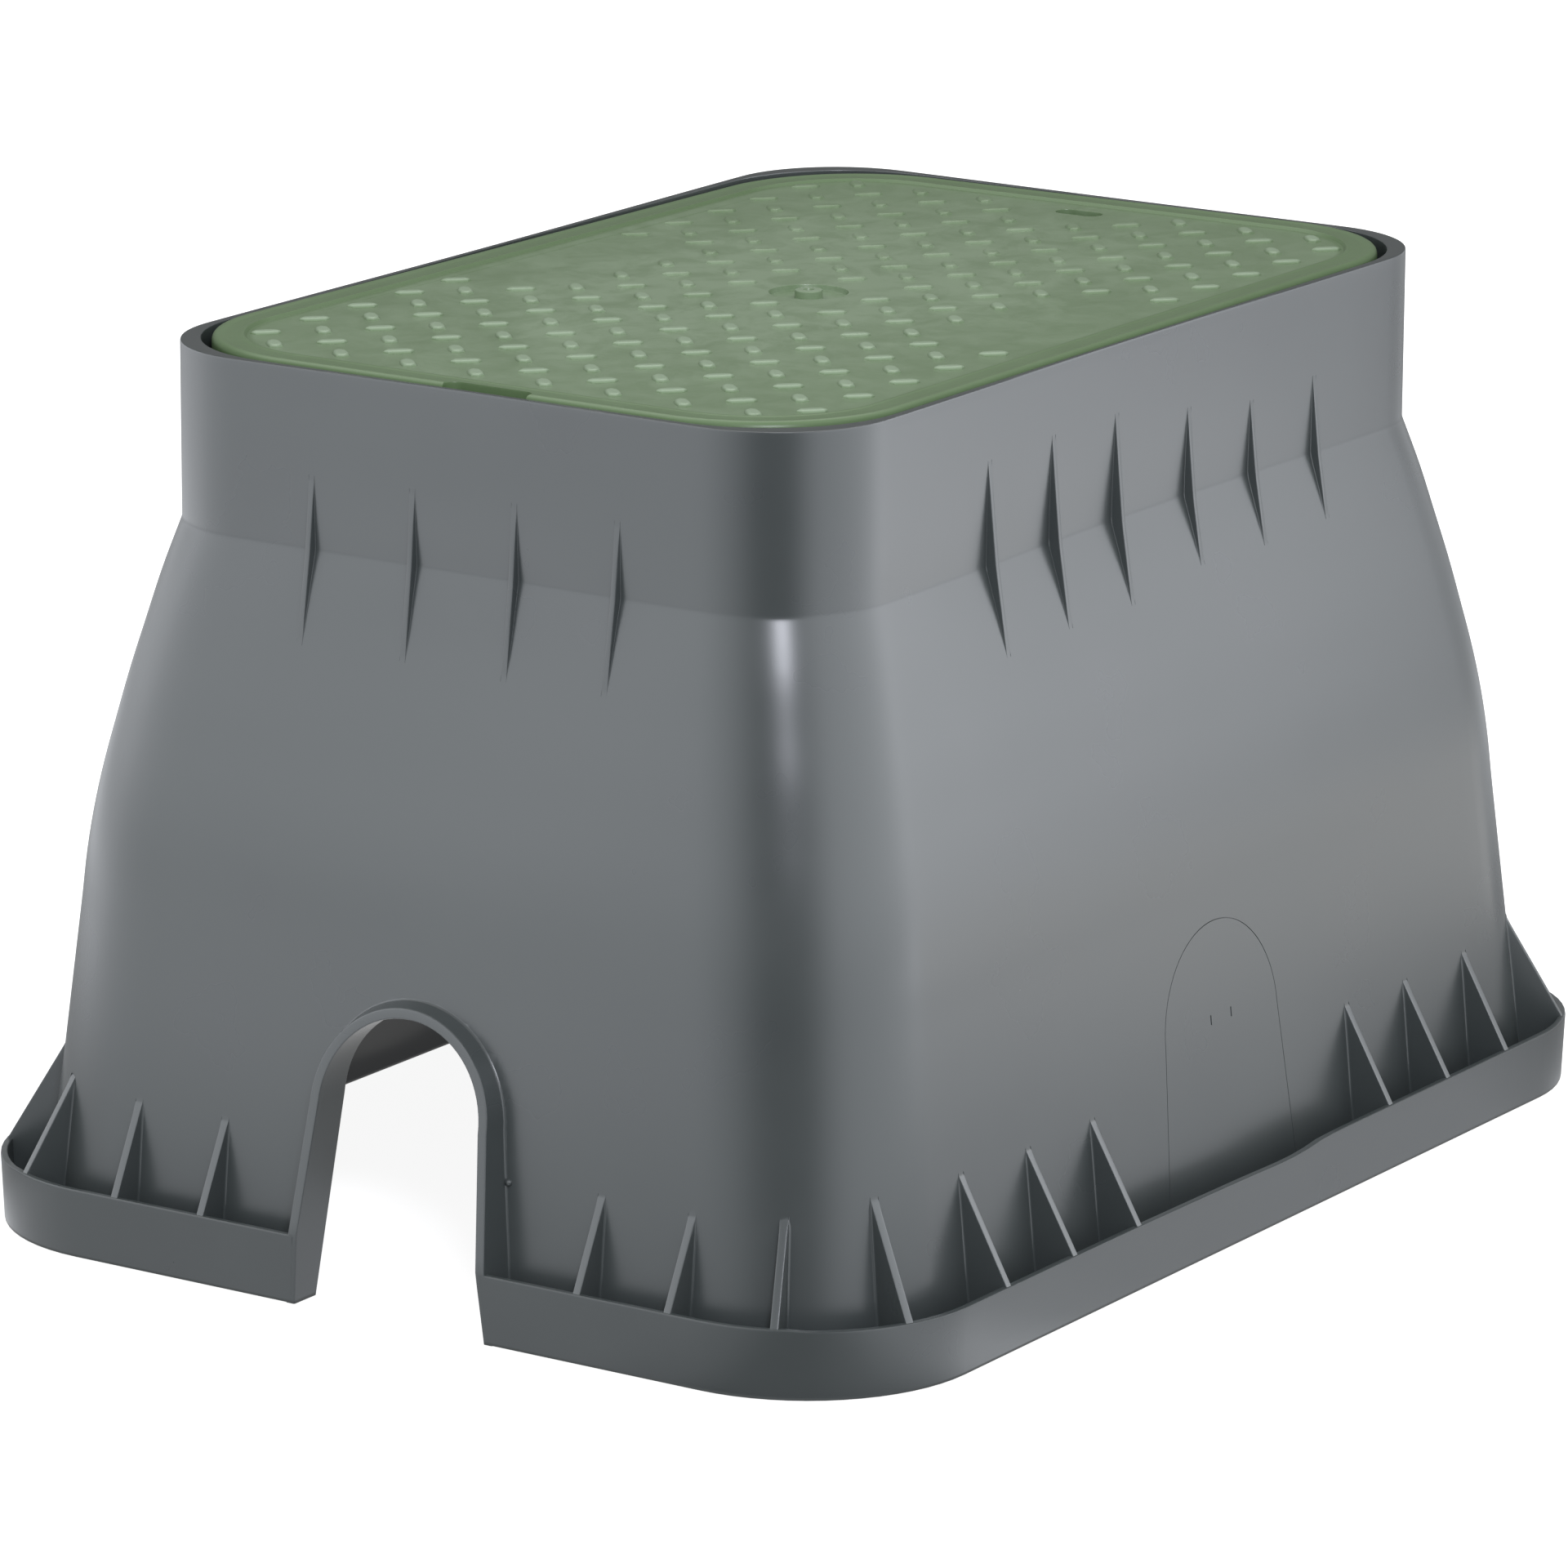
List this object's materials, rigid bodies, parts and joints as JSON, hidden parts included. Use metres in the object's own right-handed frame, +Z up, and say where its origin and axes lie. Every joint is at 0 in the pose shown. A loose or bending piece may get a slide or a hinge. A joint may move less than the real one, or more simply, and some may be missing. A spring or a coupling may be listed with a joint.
{
  "type": "irrigation valve box",
  "caption": "Rectangular in-ground valve box with a flared, gusseted base, arched pipe openings in the ends and a drop-in treaded lid.",
  "frame": {"origin": "middle of the foot's underside, on the surface that the box stands on", "axes": "+X along the box's length, from the end whose lid edge has the finger notch to the end with the lifting slot; +Y across; +Z up to the lid"},
  "size_m": [0.502, 0.374, 0.301],
  "materials": {
    "body": "moulded polyethylene, fine grain, dark grey",
    "lid": "moulded polypropylene, slightly glossy, muted green"
  },
  "bodies": {
    "body": {"body": "body"},
    "lid": {"lid": "lid"}
  },
  "joints": [
    {"name": "lid_lift", "type": "slide", "parent": "body", "child": "lid", "axis": [0, 0, 1], "range_m": [0, 0.08]}
  ]
}
